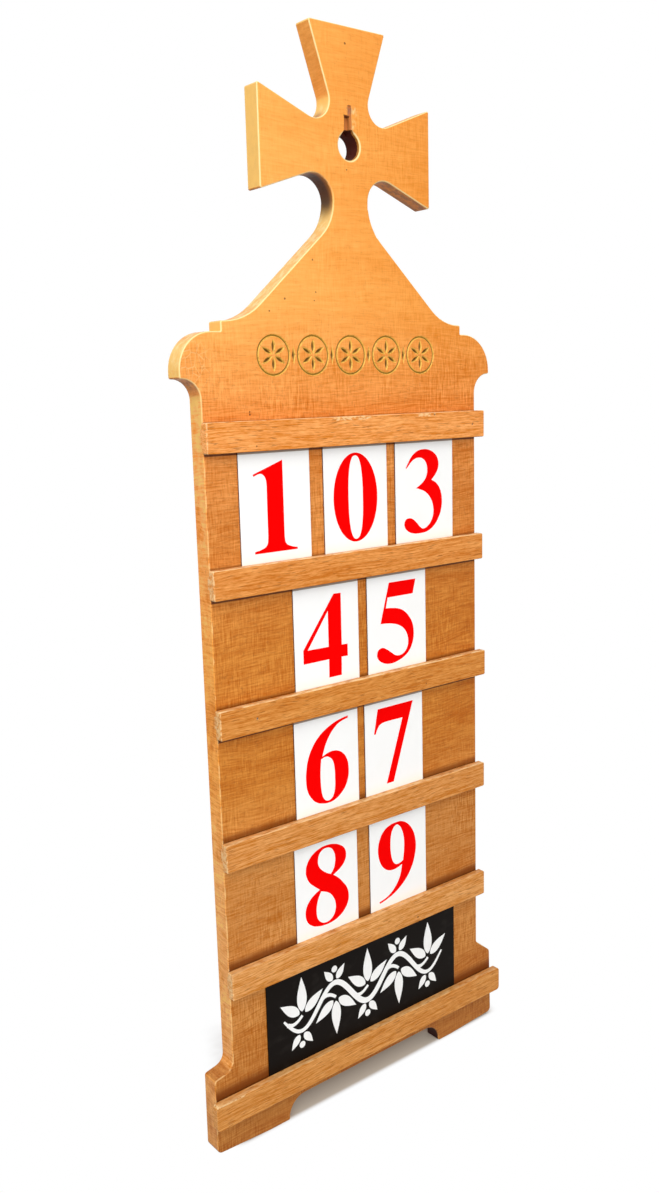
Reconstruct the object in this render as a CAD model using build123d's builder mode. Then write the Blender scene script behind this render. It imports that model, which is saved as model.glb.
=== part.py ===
from build123d import *
from types import SimpleNamespace
import math
import os

# A wooden hymn board: one shaped board, six slotted rails pinned across its front, and the
# cards that slide behind the rails' lips. Lengths are in millimetres. The board hangs on a
# peg. +X is to the reader's right, +Y runs into the wall and +Z is up. The origin is the
# centre of the hanging hole, on the board's back face. Distances across the board are taken
# from its body's middle, and heights up from the bottoms of the feet.

# ---- board ----
BOARD_HEIGHT = 927.0
BOARD_THICKNESS = 17.0
FRONT_ARRIS = 1.2
BACK_ARRIS = 0.8
CORNER_ROUND = 1.5

# ---- cross on the board's head ----
# The cross and its neck were sawn a little to the right of the body's middle, and the hole was
# bored a little less far to the right.
CROSS_SHIFT = 4.0
HOLE_SHIFT = 3.4
HOLE_HEIGHT = 837.0
TOP_ARM_HALF_WIDTH = 39.4
UPPER_NOTCH_CORNER = (10.4, 844.0)
UPPER_NOTCH_RADIUS = 15.2
LOWER_NOTCH_TOP = 821.4

# ---- sweep from the neck out to the shoulders ----
NECK_HALF_WIDTH = 18.3
STEP_TOP = 698.0
STEP_INNER_RADIUS = 0.8
SHOULDER_HALF_WIDTH = 166.0
SHOULDER_TOP = 689.9
SHOULDER_BOTTOM = 654.8

# ---- feet ----
# Each foot is flat as far as the sole's end, and worn up from there to its outer corner.
SOLE_END = 112.0
FOOT_WEAR = 3.0
FOOT_CORNER_RADIUS = 5.0
ARCH_HEIGHT = 19.6
ARCH_RADIUS = 17.5

# ---- what differs between the two sides, as sawn by hand ----
# A ledge is the height and the radius of its inner corner, then of its outer corner.
RIGHT = SimpleNamespace(
    side=1,
    arm_reach=88.1,
    arm_top=875.1,
    arm_bottom=794.5,
    lower_notch_radius=18.0,
    neck_bottom=776.3,
    neck_sweep_radius=41.0,
    slope_end=107.8,
    slope_end_radius=48.0,
    step_width=128.9,
    shoulder_radius=32.0,
    shoulder_cove_radius=17.2,
    body_top_width=147.2,
    body_foot_width=149.0,
    ledge=((88.0, 4.0), (72.3, 4.0)),
    foot_width=168.0,
    sole_width=169.8,
    arch_width=95.0,
)
LEFT = SimpleNamespace(
    side=-1,
    arm_reach=90.1,
    arm_top=874.5,
    arm_bottom=796.9,
    lower_notch_radius=20.0,
    neck_bottom=777.9,
    neck_sweep_radius=37.0,
    slope_end=105.2,
    slope_end_radius=52.0,
    step_width=127.6,
    shoulder_radius=29.0,
    shoulder_cove_radius=16.0,
    body_top_width=148.3,
    body_foot_width=147.6,
    ledge=((76.0, 10.0), (72.0, 2.5)),
    foot_width=166.4,
    sole_width=166.9,
    arch_width=90.0,
)

# ---- hanging hole, with the slot chiselled above it ----
HOLE_RADIUS = 10.8
HOLE_RIM_ROUND = 2.0
# Each step of the slot gets narrower upwards. Its middle is given to the right of the hole's
# centre, and its foot and head above that centre.
SLOT_STEPS = (
    SimpleNamespace(middle=-0.6, foot=7.0, head=12.7, foot_width=15.6, head_width=8.4, cut_depth=11.0),
    SimpleNamespace(middle=-1.8, foot=7.0, head=22.8, foot_width=7.6, head_width=6.2, cut_depth=4.5),
    SimpleNamespace(middle=0.7, foot=7.0, head=31.0, foot_width=5.0, head_width=3.6, cut_depth=1.2),
)

# ---- rails and their card slots ----
# Each rail: the height of its top, and where its left and right ends lie.
RAILS = (
    (621.8, -150.4, 150.9),
    (507.9, -150.0, 149.0),
    (394.5, -150.0, 152.3),
    (281.5, -149.7, 151.2),
    (167.6, -149.7, 151.3),
    (54.1, -170.9, 173.4),
)
RAIL_TOPS = [top for top, _, _ in RAILS]
RAIL_DEPTH = 24.0
RAIL_PROJECTION = 8.6
RAIL_ARRIS = 0.7
RAIL_END_ROUND = 1.5
FOOT_RAIL_END_ROUND = 3.5
SLOT_GAP = 2.0
SEAT_DEPTH = 5.0
HEAD_SLOT_DEPTH = 9.0

# ---- panel pins through the rails ----
PIN_LENGTH = 20.0
PIN_RADIUS = 0.7
PIN_POINT_LENGTH = 1.5
PIN_POINT_RADIUS = 0.15
PIN_HEAD_RADIUS = 1.1
PIN_HEAD_THICKNESS = 0.8
PIN_SET_DEPTH = 1.2
PIN_PLACES = (-114.0, 11.0, 136.0)
# The pin holes that have lost their stopping: rail number to place along the rail.
OPEN_PIN_HOLES = {1: 136.0, 3: -114.0}

# ---- cards ----
CARD_WIDTH = 70.0
CARD_HEIGHT = 97.0
TITLE_WIDTH = 227.0
TITLE_HEIGHT = 97.0
CARD_THICKNESS = 1.2
CARD_CORNER = 0.8
CARD_SEAT_GAP = 0.15
# Each card: node name, the rail whose slot its foot stands in, and its middle across the board.
NUMBER_CARDS = (
    ("card_one", 2, -83.4),
    ("card_zero", 2, 1.2),
    ("card_three", 2, 81.3),
    ("card_four", 3, -34.5),
    ("card_five", 3, 45.9),
    ("card_six", 4, -38.0),
    ("card_seven", 4, 40.3),
    ("card_eight", 5, -41.9),
    ("card_nine", 5, 43.1),
)
TITLE_CARD = ("title_card", 6, 1.6)

# ---- band of chip-cut ornament above the first rail ----
BAND_HEIGHT = 672.0
ROSETTE_COUNT = 5
ROSETTE_PITCH = 39.6
RING_RADIUS = 15.4
RING_CUT_DEPTH = 1.2
PETAL_COUNT = 6
PETAL_INNER_RADIUS = 0.9
PETAL_OUTER_RADIUS = 13.2
PETAL_HALF_WIDTH = 1.9
LOZENGE_HALF_WIDTH = 2.0
LOZENGE_HALF_HEIGHT = 8.0
CHIP_WALL_ANGLE = 45
# A cut stops this share of the way down to where its walls would meet.
CHIP_DEPTH_SHARE = 0.94

os.makedirs("parts", exist_ok=True)

# Sketches on these planes use x across the board from its body's middle, and y as the height
# above the feet. They extrude away from the wall.
BACK = Plane(origin=(-HOLE_SHIFT, 0, -HOLE_HEIGHT), x_dir=(1, 0, 0), z_dir=(0, -1, 0))
FRONT = BACK.offset(BOARD_THICKNESS)
RAIL_FACE = FRONT.offset(RAIL_PROJECTION)


def save(part, name):
    """Label one finished piece and write it to its own STEP file."""
    part.label = name
    export_step(part, f"parts/{name}.step")


# ---- outline of the board ----
def side_outline(cut):
    """Corners (x, height, radius) of one side, from the top of the cross down to the arch."""
    (inner_height, inner_radius), (outer_height, outer_radius) = cut.ledge
    cross = [
        (TOP_ARM_HALF_WIDTH, BOARD_HEIGHT, CORNER_ROUND),
        (*UPPER_NOTCH_CORNER, UPPER_NOTCH_RADIUS),
        (cut.arm_reach, cut.arm_top, CORNER_ROUND),
        (cut.arm_reach, cut.arm_bottom, CORNER_ROUND),
        (NECK_HALF_WIDTH, LOWER_NOTCH_TOP, cut.lower_notch_radius),
        (NECK_HALF_WIDTH, cut.neck_bottom, cut.neck_sweep_radius),
    ]
    body = [
        (cut.slope_end, STEP_TOP, cut.slope_end_radius),
        (cut.step_width, STEP_TOP, CORNER_ROUND),
        (cut.step_width, SHOULDER_TOP, STEP_INNER_RADIUS),
        (SHOULDER_HALF_WIDTH, SHOULDER_TOP, cut.shoulder_radius),
        (SHOULDER_HALF_WIDTH, SHOULDER_BOTTOM, CORNER_ROUND),
        (cut.body_top_width, SHOULDER_BOTTOM, cut.shoulder_cove_radius),
        (cut.body_foot_width, inner_height, inner_radius),
        (cut.foot_width, outer_height, outer_radius),
        (cut.sole_width, FOOT_WEAR, FOOT_CORNER_RADIUS),
        (SOLE_END, 0.0, CORNER_ROUND),
        (cut.arch_width, 0.0, CORNER_ROUND),
        (cut.arch_width, ARCH_HEIGHT, ARCH_RADIUS),
    ]
    shifted_cross = [(cut.side * x + CROSS_SHIFT, height, radius) for x, height, radius in cross]
    return shifted_cross + [(cut.side * x, height, radius) for x, height, radius in body]


def board_outline():
    """The board's whole closed edge as one filleted line, down the right and up the left."""
    corners = side_outline(RIGHT) + side_outline(LEFT)[::-1]
    FilletPolyline(
        *[(x, height) for x, height, _ in corners],
        radius=[radius for _, _, radius in corners],
        close=True,
    )


def pin_centres(top):
    """Where the pins of one rail stand: in the middle of the rail's depth."""
    return [(x, top - RAIL_DEPTH / 2) for x in PIN_PLACES]


# ---- chip-cut ornament ----
# One petal: the pointed oval between two arcs, lying along the sketch's x axis.
with BuildSketch() as petal:
    with BuildLine():
        petal_tips = ((PETAL_INNER_RADIUS, 0), (PETAL_OUTER_RADIUS, 0))
        petal_middle = (PETAL_INNER_RADIUS + PETAL_OUTER_RADIUS) / 2
        ThreePointArc(petal_tips[0], (petal_middle, PETAL_HALF_WIDTH), petal_tips[1])
        ThreePointArc(petal_tips[0], (petal_middle, -PETAL_HALF_WIDTH), petal_tips[1])
    make_face()

rosette_places = [
    ((index - (ROSETTE_COUNT - 1) / 2) * ROSETTE_PITCH, BAND_HEIGHT) for index in range(ROSETTE_COUNT)
]
lozenge_places = [(x + ROSETTE_PITCH / 2, height) for x, height in rosette_places[:-1]]
lozenge_inner_radius = (
    LOZENGE_HALF_WIDTH * LOZENGE_HALF_HEIGHT / math.hypot(LOZENGE_HALF_WIDTH, LOZENGE_HALF_HEIGHT)
)

# The ring round each rosette: a V groove turned about the rosette's own axis. The cutter
# stands proud of the face by as much as it cuts into it.
with BuildPart() as ring_groove:
    with BuildSketch():
        with BuildLine():
            mouth = 2 * RING_CUT_DEPTH
            Polyline(
                (RING_RADIUS, -BOARD_THICKNESS + RING_CUT_DEPTH),
                (RING_RADIUS - mouth, -BOARD_THICKNESS - RING_CUT_DEPTH),
                (RING_RADIUS + mouth, -BOARD_THICKNESS - RING_CUT_DEPTH),
                close=True,
            )
        make_face()
    revolve(axis=Axis.Y)

# ---- backboard ----
with BuildPart() as backboard:
    with BuildSketch(BACK):
        with BuildLine():
            board_outline()
        make_face()
    extrude(amount=BOARD_THICKNESS)

    # Worn arrises all round, softer at the front than at the back.
    fillet(backboard.faces().sort_by(Axis.Y)[0].edges(), FRONT_ARRIS)
    fillet(backboard.faces().sort_by(Axis.Y)[-1].edges(), BACK_ARRIS)

    # The hole for the peg, with a rounded rim.
    with BuildSketch(BACK):
        with Locations((HOLE_SHIFT, HOLE_HEIGHT)):
            Circle(HOLE_RADIUS)
    extrude(amount=BOARD_THICKNESS, mode=Mode.SUBTRACT)
    hole_rim = backboard.edges().filter_by(GeomType.CIRCLE).filter_by(
        lambda edge: abs(edge.radius - HOLE_RADIUS) < 0.01 and edge.center().Y < -BOARD_THICKNESS / 2
    )
    fillet(hole_rim, HOLE_RIM_ROUND)

    # The slot above the hole, chiselled in three steps that get narrower and shallower.
    for step in SLOT_STEPS:
        with BuildSketch(FRONT):
            with Locations((HOLE_SHIFT + step.middle, HOLE_HEIGHT)):
                Polygon(
                    (step.foot_width / 2, step.foot),
                    (step.head_width / 2, step.head),
                    (-step.head_width / 2, step.head),
                    (-step.foot_width / 2, step.foot),
                    align=None,
                )
        extrude(amount=-step.cut_depth, mode=Mode.SUBTRACT)

    # Holes that the pins have made.
    with BuildSketch(FRONT):
        with Locations(*[centre for top in RAIL_TOPS for centre in pin_centres(top)]):
            Circle(PIN_RADIUS)
    extrude(amount=-(PIN_LENGTH + PIN_SET_DEPTH - RAIL_PROJECTION), mode=Mode.SUBTRACT)

    # Five rosettes with lozenges between them.
    with BuildSketch(FRONT) as petals:
        with Locations(*rosette_places):
            with PolarLocations(0, PETAL_COUNT, start_angle=90):
                add(petal.sketch)
    extrude(
        petals.sketch,
        amount=-PETAL_HALF_WIDTH * CHIP_DEPTH_SHARE,
        taper=CHIP_WALL_ANGLE,
        mode=Mode.SUBTRACT,
    )
    with BuildSketch(FRONT) as lozenges:
        with Locations(*lozenge_places):
            Polygon(
                (LOZENGE_HALF_WIDTH, 0),
                (0, LOZENGE_HALF_HEIGHT),
                (-LOZENGE_HALF_WIDTH, 0),
                (0, -LOZENGE_HALF_HEIGHT),
            )
    extrude(
        lozenges.sketch,
        amount=-lozenge_inner_radius * CHIP_DEPTH_SHARE,
        taper=CHIP_WALL_ANGLE,
        mode=Mode.SUBTRACT,
    )
    with Locations(*[(x - HOLE_SHIFT, 0, height - HOLE_HEIGHT) for x, height in rosette_places]):
        add(ring_groove.part, mode=Mode.SUBTRACT)

save(backboard.part, "backboard")


# ---- rails ----
def make_rail(number, top, left_end, right_end, end_round):
    """One rail: a bar with a card slot behind its lip along the top and along the bottom."""
    length = right_end - left_end
    with BuildPart() as rail:
        with BuildSketch(FRONT):
            with Locations((left_end, top)):
                Rectangle(length, RAIL_DEPTH, align=(Align.MIN, Align.MAX))
        extrude(amount=RAIL_PROJECTION)
        fillet(rail.edges().filter_by(Axis.Y), end_round)
        fillet(rail.faces().sort_by(Axis.Y)[0].edges(), RAIL_ARRIS)

        # The upper slot seats a card's foot. The lower one is deeper, so that a card's head
        # can go up into it before its foot drops.
        with BuildSketch(FRONT):
            with Locations((left_end, top)):
                Rectangle(length, SEAT_DEPTH, align=(Align.MIN, Align.MAX))
            with Locations((left_end, top - RAIL_DEPTH)):
                Rectangle(length, HEAD_SLOT_DEPTH, align=(Align.MIN, Align.MIN))
        extrude(amount=SLOT_GAP, mode=Mode.SUBTRACT)

        # Each pin's shank hole, its head's seat, and the hole above the head where it is open.
        with BuildSketch(FRONT):
            with Locations(*pin_centres(top)):
                Circle(PIN_RADIUS)
        extrude(amount=RAIL_PROJECTION - PIN_SET_DEPTH, mode=Mode.SUBTRACT)
        with BuildSketch(RAIL_FACE.offset(-PIN_SET_DEPTH)):
            with Locations(*pin_centres(top)):
                Circle(PIN_HEAD_RADIUS)
        extrude(amount=-PIN_HEAD_THICKNESS, mode=Mode.SUBTRACT)
        if number in OPEN_PIN_HOLES:
            with BuildSketch(RAIL_FACE):
                with Locations((OPEN_PIN_HOLES[number], top - RAIL_DEPTH / 2)):
                    Circle(PIN_HEAD_RADIUS)
            extrude(amount=-PIN_SET_DEPTH, mode=Mode.SUBTRACT)
    return rail.part


def make_pins(top):
    """The panel pins of one rail, their heads punched below its face."""
    shank_length = PIN_LENGTH - PIN_POINT_LENGTH
    with BuildPart() as pins:
        with BuildSketch(RAIL_FACE.offset(-PIN_SET_DEPTH)):
            with Locations(*pin_centres(top)):
                Circle(PIN_HEAD_RADIUS)
        extrude(amount=-PIN_HEAD_THICKNESS)
        with BuildSketch(RAIL_FACE.offset(-PIN_SET_DEPTH)):
            with Locations(*pin_centres(top)):
                Circle(PIN_RADIUS)
        extrude(amount=-shank_length)
        for x, height in pin_centres(top):
            with BuildSketch(RAIL_FACE.offset(-PIN_SET_DEPTH - shank_length)):
                with Locations((x, height)):
                    Circle(PIN_RADIUS)
            with BuildSketch(RAIL_FACE.offset(-PIN_SET_DEPTH - PIN_LENGTH)):
                with Locations((x, height)):
                    Circle(PIN_POINT_RADIUS)
            loft()
    return pins.part


for number, (top, left_end, right_end) in enumerate(RAILS, start=1):
    end_round = FOOT_RAIL_END_ROUND if number == len(RAILS) else RAIL_END_ROUND
    save(make_rail(number, top, left_end, right_end, end_round), f"rail_{number}")
    save(make_pins(top), f"rail_pins_{number}")


# ---- cards ----
def make_card(seat_rail, middle, width, height):
    """One flat card, standing in its rail's slot midway between the board and the lip."""
    foot = RAIL_TOPS[seat_rail - 1] - SEAT_DEPTH + CARD_SEAT_GAP
    card_back = FRONT.offset((SLOT_GAP - CARD_THICKNESS) / 2)
    with BuildPart() as card:
        with BuildSketch(card_back):
            with Locations((middle, foot)):
                Rectangle(width, height, align=(Align.CENTER, Align.MIN))
        extrude(amount=CARD_THICKNESS)
        fillet(card.edges().filter_by(Axis.Y), CARD_CORNER)
    return card.part


for name, seat_rail, middle in NUMBER_CARDS:
    save(make_card(seat_rail, middle, CARD_WIDTH, CARD_HEIGHT), name)

name, seat_rail, middle = TITLE_CARD
save(make_card(seat_rail, middle, TITLE_WIDTH, TITLE_HEIGHT), name)
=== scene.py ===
import math
from functools import cached_property

import bmesh
import bpy
import numpy as np
from bpy.props import FloatProperty, FloatVectorProperty, IntProperty, PointerProperty
from mathutils import Euler, Matrix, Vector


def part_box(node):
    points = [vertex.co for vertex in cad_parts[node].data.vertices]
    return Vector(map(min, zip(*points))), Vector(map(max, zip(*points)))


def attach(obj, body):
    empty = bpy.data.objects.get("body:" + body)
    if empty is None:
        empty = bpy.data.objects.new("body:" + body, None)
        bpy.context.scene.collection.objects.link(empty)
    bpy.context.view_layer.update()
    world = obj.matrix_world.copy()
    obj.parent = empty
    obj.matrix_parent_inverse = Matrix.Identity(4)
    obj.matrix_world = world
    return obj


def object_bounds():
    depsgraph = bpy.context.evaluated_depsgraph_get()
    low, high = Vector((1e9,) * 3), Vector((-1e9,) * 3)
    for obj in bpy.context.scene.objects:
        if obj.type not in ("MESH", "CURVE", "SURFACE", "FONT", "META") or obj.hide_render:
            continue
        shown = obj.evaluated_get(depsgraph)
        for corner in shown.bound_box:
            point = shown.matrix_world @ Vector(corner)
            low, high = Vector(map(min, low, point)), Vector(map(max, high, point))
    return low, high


bl_info = {
    "name": "Hymn board",
    "version": (1, 0, 0),
    "blender": (4, 5, 0),
    "location": "3D View > Sidebar > Hymn board",
    "description": "Finishes a wooden hymn board: wood, printed cards, painted title card and stage",
    "category": "Object",
}

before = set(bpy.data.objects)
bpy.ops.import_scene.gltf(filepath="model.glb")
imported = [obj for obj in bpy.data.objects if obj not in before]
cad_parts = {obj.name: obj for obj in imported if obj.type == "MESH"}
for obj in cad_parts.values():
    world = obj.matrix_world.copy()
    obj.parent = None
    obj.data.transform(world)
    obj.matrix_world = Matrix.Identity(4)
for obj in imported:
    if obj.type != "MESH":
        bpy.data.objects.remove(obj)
CAD_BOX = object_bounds()

MM = 0.001
RAIL_COUNT = 6
TOP_RAIL, FOOT_RAIL = 0, RAIL_COUNT - 1
RAILS = [f"rail_{number}" for number in range(1, RAIL_COUNT + 1)]
PIN_GROUPS = [f"rail_pins_{number}" for number in range(1, RAIL_COUNT + 1)]
NUMERAL_NAMES = ("one", "zero", "three", "four", "five", "six", "seven", "eight", "nine")
NUMBER_CARDS = {"card_" + name: name for name in NUMERAL_NAMES}


# ---- measures taken from the frame, in millimetres ----
LOW, HIGH = 0, 1
X, Y, Z = 0, 1, 2


def box_side(node_name, corner, axis):
    """Where one side of a node's box lies: corner is LOW or HIGH, axis is X, Y or Z."""
    return float(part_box(node_name)[corner][axis]) / MM


FOOT_LEVEL = float(CAD_BOX[LOW][Z])
FOOT = FOOT_LEVEL / MM
BOARD_HEIGHT = float(CAD_BOX[HIGH][Z] - CAD_BOX[LOW][Z]) / MM
BOARD_FACE = box_side("backboard", LOW, Y)
RAIL_LEFT_END = box_side("rail_1", LOW, X)
RAIL_FRONT = box_side("rail_1", LOW, Y)
RAIL_TOPS = [box_side(rail, HIGH, Z) for rail in RAILS]
RAIL_FEET = [box_side(rail, LOW, Z) for rail in RAILS]
# The tops of the rails that the number cards stand in.
CARD_RAIL_TOPS = RAIL_TOPS[TOP_RAIL + 1:FOOT_RAIL]
CARD_FACE = box_side("card_one", LOW, Y)
CARD_BACK = box_side("card_one", HIGH, Y)

# ---- directions ----
LEFT = (-1.0, 0.0, 0.0)
RIGHT = (1.0, 0.0, 0.0)
FRONT = (0.0, -1.0, 0.0)
UP = (0.0, 0.0, 1.0)
DOWN = (0.0, 0.0, -1.0)


# ---- settings ----
def colour_setting(name, description, default):
    """A colour property, written as linear red, green and blue."""
    return FloatVectorProperty(
        name=name, description=description, default=default, subtype="COLOR", size=3, min=0, max=1
    )


class BoardWoodSettings(bpy.types.PropertyGroup):
    line_colour: colour_setting("Grain lines", "Late wood and open pores", (0.27, 0.070, 0.008))
    # Worn arris also gives the painted highlight on the head's upward slopes.
    worn_and_highlight_colour: colour_setting("Worn arris", "Arrises rubbed through the varnish", (1.0, 0.74, 0.34))
    gilt_colour: colour_setting("Gilt", "Old gilding in the cut ornament", (0.84, 0.48, 0.080))
    # The colour of the painted shade inside the bore.
    bore_shade_colour: colour_setting("Stain", "The bore's wall", (0.075, 0.009, 0.002))
    figure: FloatProperty(
        name="Figure", description="How strongly the grain shows", default=1.0, min=0, max=2
    )
    roughness: FloatProperty(
        name="Roughness", description="Roughness of the waxed face", default=0.46, min=0, max=1
    )


class RailWoodSettings(bpy.types.PropertyGroup):
    line_colour: colour_setting("Pores", "Open pores drawn out along each rail", (0.27, 0.080, 0.010))
    # Worn arris also gives the painted highlight on the rails' upper faces.
    worn_and_highlight_colour: colour_setting("Worn arris", "Arrises and corners rubbed pale", (0.98, 0.72, 0.38))
    figure: FloatProperty(
        name="Figure", description="How strongly the grain shows", default=1.0, min=0, max=2
    )
    roughness: FloatProperty(
        name="Roughness", description="Roughness of the waxed face", default=0.50, min=0, max=1
    )


class CardSettings(bpy.types.PropertyGroup):
    stock_colour: colour_setting("Card", "White of the number cards", (0.97, 0.97, 0.965))
    core_colour: colour_setting("Core", "Brown of the cards' cut edges", (0.060, 0.013, 0.005))
    ink_colour: colour_setting("Ink", "Red of the numerals", (0.96, 0.0, 0.0))
    ink_thickness: FloatProperty(
        name="Ink", description="How far the print stands proud", default=0.05 * MM, unit="LENGTH"
    )
    title_colour: colour_setting("Title card", "Black of the title card", (0.006, 0.004, 0.003))
    paint_colour: colour_setting("Paint", "White of the painted vine", (0.95, 0.95, 0.94))
    paint_thickness: FloatProperty(
        name="Paint", description="How far the brushwork stands proud", default=0.08 * MM, unit="LENGTH"
    )
    outline_steps: IntProperty(
        name="Outline steps", description="Points between two of an outline's own points",
        default=10, min=2,
    )


class StageSettings(bpy.types.PropertyGroup):
    camera_place: FloatVectorProperty(
        name="Camera", description="Where the camera stands", default=(-0.5958, -0.7314, -0.1934),
        subtype="TRANSLATION",
    )
    camera_bearing: FloatProperty(
        name="Bearing", description="Camera's bearing from +Y towards +X", default=math.radians(38.236),
        subtype="ANGLE",
    )
    camera_pitch: FloatProperty(
        name="Pitch", description="Camera's tilt above level", default=math.radians(-10.755),
        subtype="ANGLE",
    )
    camera_roll: FloatProperty(
        name="Roll", description="Camera's turn about its own line of sight", default=math.radians(-1.540),
        subtype="ANGLE",
    )
    lens: FloatProperty(
        name="Lens", description="Focal length over a 36 mm tall picture", default=32.756, unit="CAMERA"
    )
    sky_level: FloatProperty(name="Sky", description="Strength of the light from all round", default=0.54)
    key_power: FloatProperty(name="Key", description="Window light, upper left", default=40.5, unit="POWER")
    fill_power: FloatProperty(
        name="Fill", description="Soft low light in front", default=11.5, unit="POWER"
    )
    floor_colour: colour_setting("Floor", "Pale floor", (0.92, 0.92, 0.92))
    bounce_colour: colour_setting("Bounce", "Floor as it lights the board from below", (0.29, 0.28, 0.27))
    shadow_depth: FloatProperty(
        name="Shadow", description="How much of the floor's own shading shows", default=1.0, min=0, max=1
    )


# ---- shader building ----
class Value:
    """A socket of a material's nodes, so that shader maths can be written as an expression."""

    def __init__(self, shader, socket):
        self.shader = shader
        self.socket = socket

    def __add__(self, other):
        return self.shader.math("ADD", self, other)

    def __sub__(self, other):
        return self.shader.math("SUBTRACT", self, other)

    def __rsub__(self, other):
        return self.shader.math("SUBTRACT", other, self)

    def __mul__(self, other):
        return self.shader.math("MULTIPLY", self, other)

    __radd__ = __add__
    __rmul__ = __mul__

    def over(self, other):
        return self.shader.math("MAXIMUM", self, other)


class Shader:
    """A material under construction. Its methods add nodes and give back their outputs.

    Places and sizes are in millimetres. A colour is a Value or a linear red, green and blue.
    """

    def __init__(self, name):
        self.material = bpy.data.materials.new(name)
        self.material.use_nodes = True
        self.tree = self.material.node_tree
        self.tree.nodes.clear()

    @classmethod
    def on(cls, tree):
        """The same methods on a tree that isn't a material's, such as the world's."""
        shader = cls.__new__(cls)
        shader.tree = tree
        tree.nodes.clear()
        return shader

    def node(self, kind, settings=None, inputs=None, output=0):
        """Add one node: its settings first, then the values or links of its sockets."""
        node = self.tree.nodes.new("ShaderNode" + kind)
        for key, value in (settings or {}).items():
            setattr(node, key, value)
        for key, value in (inputs or {}).items():
            if isinstance(value, Value):
                self.tree.links.new(value.socket, node.inputs[key])
            else:
                node.inputs[key].default_value = value
        return Value(self, node.outputs[output])

    def math(self, operation, first, second=0.0):
        return self.node("Math", {"operation": operation}, {0: first, 1: second})

    def vector_math(self, operation, first, second):
        return self.node("VectorMath", {"operation": operation}, {0: first, 1: second})

    @cached_property
    def place(self):
        """Where the surface is: Object coordinates in millimetres."""
        return self.dim(self.node("TexCoord", output=3), 1.0 / MM)

    @cached_property
    def axes(self):
        """The three parts of the place: across, depth and up."""
        node = self.tree.nodes.new("ShaderNodeSeparateXYZ")
        self.tree.links.new(self.place.socket, node.inputs[0])
        return [Value(self, socket) for socket in node.outputs]

    @property
    def across(self):
        return self.axes[X]

    @property
    def depth(self):
        return self.axes[Y]

    @property
    def up(self):
        return self.axes[Z]

    @cached_property
    def height(self):
        """How far up from the feet."""
        return self.up - FOOT

    @cached_property
    def flat_place(self):
        """The place with its depth left out."""
        return self.node("CombineXYZ", None, {"X": self.across, "Y": 0.0, "Z": self.up})

    def lifted(self, rise):
        """The place moved up by a distance."""
        return self.node("CombineXYZ", None, {"X": self.across, "Y": self.depth, "Z": self.up + rise})

    def dim(self, colour, factor):
        """A colour made lighter or darker by a number."""
        if not isinstance(colour, Value):
            colour = tuple(colour)
        return self.node("VectorMath", {"operation": "SCALE"}, {0: colour, "Scale": factor})

    def vary(self, colour, figure):
        """Wood round its mean colour: lighter and paler above zero, darker and redder below it."""
        held = self.math("MAXIMUM", figure, -0.40)
        parts = {"X": 1.0 + held * 0.5, "Y": 1.0 + held, "Z": 1.0 + held * 2.2}
        return self.vector_math("MULTIPLY", colour, self.node("CombineXYZ", None, parts))

    def mix(self, factor, first, second):
        """A colour between two others."""
        settings = {"data_type": "RGBA", "clamp_factor": True}
        return self.node("Mix", settings, {"Factor": factor, 6: rgba(first), 7: rgba(second)}, output=2)

    def ramp(self, value, low, high, bottom=0.0, top=1.0):
        """A smooth step from bottom to top as the value goes from low to high."""
        inputs = {"Value": value, "From Min": low, "From Max": high, "To Min": bottom, "To Max": top}
        return self.node("MapRange", {"interpolation_type": "SMOOTHSTEP"}, inputs)

    def noise(self, grain, detail=2.0, roughness=0.5, place=None):
        """Noise from 0 to 1 whose blobs are about as large as grain, across, deep and up."""
        scaled = self.vector_math("DIVIDE", place or self.place, grain)
        inputs = {"Vector": scaled, "Scale": 1.0, "Detail": detail, "Roughness": roughness}
        return self.node("TexNoise", {"noise_dimensions": "3D"}, inputs)

    def facing(self, direction, low, high):
        """0 to 1 as the surface turns towards a direction: its normal's share along it, low to high."""
        normal = self.node("NewGeometry", output=1)
        inputs = {0: normal, 1: direction}
        share = self.node("VectorMath", {"operation": "DOT_PRODUCT"}, inputs, output=1)
        return self.ramp(share, low, high)

    def facing_sideways(self):
        """1 on what faces left or right."""
        return self.facing(LEFT, 0.5, 0.9).over(self.facing(RIGHT, 0.5, 0.9))

    def near(self, centre, radius, softness, place=None):
        """1 within radius of a point, falling to 0 over softness."""
        inputs = {0: place or self.place, 1: centre}
        away = self.node("VectorMath", {"operation": "DISTANCE"}, inputs, output=1)
        return self.ramp(away, radius, radius + softness, 1.0, 0.0)

    def between(self, value, low, high, softness):
        """1 while the value is between two others, falling to 0 over softness outside them."""
        rise = self.ramp(value, low - softness, low)
        return rise * self.ramp(value, high, high + softness, 1.0, 0.0)

    def stops(self, value, colours):
        """A colour that runs through (position, colour) stops as the value goes from 0 to 1."""
        node = self.tree.nodes.new("ShaderNodeValToRGB")
        elements = node.color_ramp.elements
        while len(elements) < len(colours):
            elements.new(0.5)
        for element, (position, colour) in zip(elements, colours):
            element.position = position
            element.color = rgba(colour)
        self.tree.links.new(value.socket, node.inputs["Fac"])
        return Value(self, node.outputs["Color"])

    def seen(self):
        """1 where the camera sees a surface itself, in a mirror or through glass."""
        camera, glossy, transmission = (self.node("LightPath", output=index) for index in (0, 3, 6))
        return camera.over(glossy).over(transmission)

    def bump(self, height, distance, strength=1.0):
        inputs = {"Height": height, "Distance": distance, "Strength": strength}
        return self.node("Bump", None, inputs)

    def close(self, surface, kind="OutputMaterial"):
        """Link a surface to the tree's output."""
        output = self.tree.nodes.new("ShaderNode" + kind)
        self.tree.links.new(surface.socket, output.inputs["Surface"])

    def finish(self, inputs):
        """Close the material with a surface shader that has these inputs."""
        self.close(self.node("BsdfPrincipled", None, inputs))
        return self.material


def rgba(colour):
    """What a colour socket takes: a Value as it is, or a red, green and blue with their alpha."""
    return colour if isinstance(colour, Value) else (*colour, 1.0)


def largest(values):
    """The largest of several mask values."""
    found = values[0]
    for value in values[1:]:
        found = found.over(value)
    return found


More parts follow.
